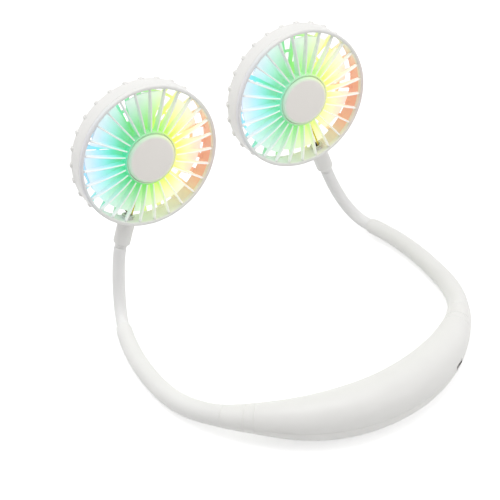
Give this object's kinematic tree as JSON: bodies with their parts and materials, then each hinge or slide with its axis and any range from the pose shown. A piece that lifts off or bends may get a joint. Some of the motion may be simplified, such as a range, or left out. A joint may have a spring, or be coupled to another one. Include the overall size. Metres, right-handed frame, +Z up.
{
  "type": "electric neck fan",
  "caption": "Hands-free neck fan: horseshoe band with a battery housing, soft arms and bendable necks that carry grilled fan heads with lit impellers.",
  "frame": {"origin": "centre of the housing's flat underside, on the surface that the part lies on", "axes": "+Z up from that surface, +Y from the housing towards the fan heads, +X to the wearer's right arm of the band"},
  "size_m": [0.1888, 0.1853, 0.1326],
  "materials": {
    "shell_white": "fine satin moulding",
    "soft_white": "smooth soft-touch silicone",
    "soft_grey": "smooth soft-touch silicone",
    "cap_grey": "fine satin moulding",
    "inner_plastic": "plain extruded",
    "dark_plastic": "plain moulded",
    "cable_dark": "smooth insulation",
    "steel": "plated",
    "motor_steel": "drawn can",
    "copper": "enamelled windings",
    "battery_wrap": "shrink wrap",
    "board_green": "solder mask",
    "board_white": "white solder mask",
    "clear_white": "translucent moulding",
    "lamp": "lit lens"
  },
  "bodies": {
    "band": {"housing_upper_shell": "shell_white", "housing_lower_shell": "shell_white", "housing_screws": "steel", "battery_cell": "battery_wrap", "control_board": "board_green", "charging_port": "steel", "tact_switch": "dark_plastic", "switch_board": "board_green", "left_end_collar": "shell_white", "left_arm_sleeve": "soft_white", "left_arm_tube": "inner_plastic", "left_arm_cable": "cable_dark", "right_end_collar": "shell_white", "right_arm_sleeve": "soft_white", "right_arm_tube": "inner_plastic", "right_arm_cable": "cable_dark"},
    "power_button": {"power_button": "cap_grey"},
    "left_neck": {"left_neck_sleeve": "soft_grey", "left_gooseneck": "steel", "left_neck_cable": "cable_dark", "left_neck_ferrule": "dark_plastic", "left_neck_clip": "steel"},
    "left_head": {"left_front_grille": "shell_white", "left_centre_cap": "cap_grey", "left_rear_shell": "shell_white", "left_motor_can": "motor_steel", "left_motor_screws": "steel", "left_lamp_board": "board_white", "left_lamps": "lamp", "left_head_leads": "cable_dark"},
    "left_fan": {"left_impeller": "clear_white", "left_motor_rotor": "copper", "left_motor_shaft": "steel"},
    "right_neck": {"right_neck_sleeve": "soft_grey", "right_gooseneck": "steel", "right_neck_cable": "cable_dark", "right_neck_ferrule": "dark_plastic", "right_neck_clip": "steel"},
    "right_head": {"right_front_grille": "shell_white", "right_centre_cap": "cap_grey", "right_rear_shell": "shell_white", "right_motor_can": "motor_steel", "right_motor_screws": "steel", "right_lamp_board": "board_white", "right_lamps": "lamp", "right_head_leads": "cable_dark"},
    "right_fan": {"right_impeller": "clear_white", "right_motor_rotor": "copper", "right_motor_shaft": "steel"}
  },
  "joints": [
    {"name": "left_neck_bend", "type": "hinge", "parent": "band", "child": "left_neck", "pos_m": [-0.07398, 0.14393, 0.0211], "axis": [1, 0, 0], "range_deg": [-30, 40], "deforming": ["left_neck_sleeve", "left_gooseneck", "left_neck_cable"]},
    {"name": "left_head_swivel", "type": "hinge", "parent": "left_neck", "child": "left_head", "pos_m": [-0.06799, 0.14995, 0.04317], "axis": [0.3756, 0.1373, 0.9166], "range_deg": [-90, 90]},
    {"name": "left_fan_spin", "type": "hinge", "parent": "left_head", "child": "left_fan", "pos_m": [-0.04842, 0.14999, 0.0933], "axis": [-0.0601, -0.9833, 0.1719], "continuous": true},
    {"name": "right_neck_bend", "type": "hinge", "parent": "band", "child": "right_neck", "pos_m": [0.07143, 0.14265, 0.02027], "axis": [1, 0, 0], "range_deg": [-30, 40], "deforming": ["right_neck_sleeve", "right_gooseneck", "right_neck_cable"]},
    {"name": "right_head_swivel", "type": "hinge", "parent": "right_neck", "child": "right_head", "pos_m": [0.06364, 0.14773, 0.04174], "axis": [-0.2787, 0.179, 0.9436], "range_deg": [-90, 90]},
    {"name": "right_fan_spin", "type": "hinge", "parent": "right_head", "child": "right_fan", "pos_m": [0.04842, 0.14999, 0.0933], "axis": [-0.0498, -0.9838, 0.1719], "continuous": true},
    {"name": "power_button_press", "type": "slide", "parent": "band", "child": "power_button", "axis": [-0.3114, -0.6349, 0.7071], "range_m": [0, 0.0005], "stiffness_N_per_m": 1500}
  ]
}
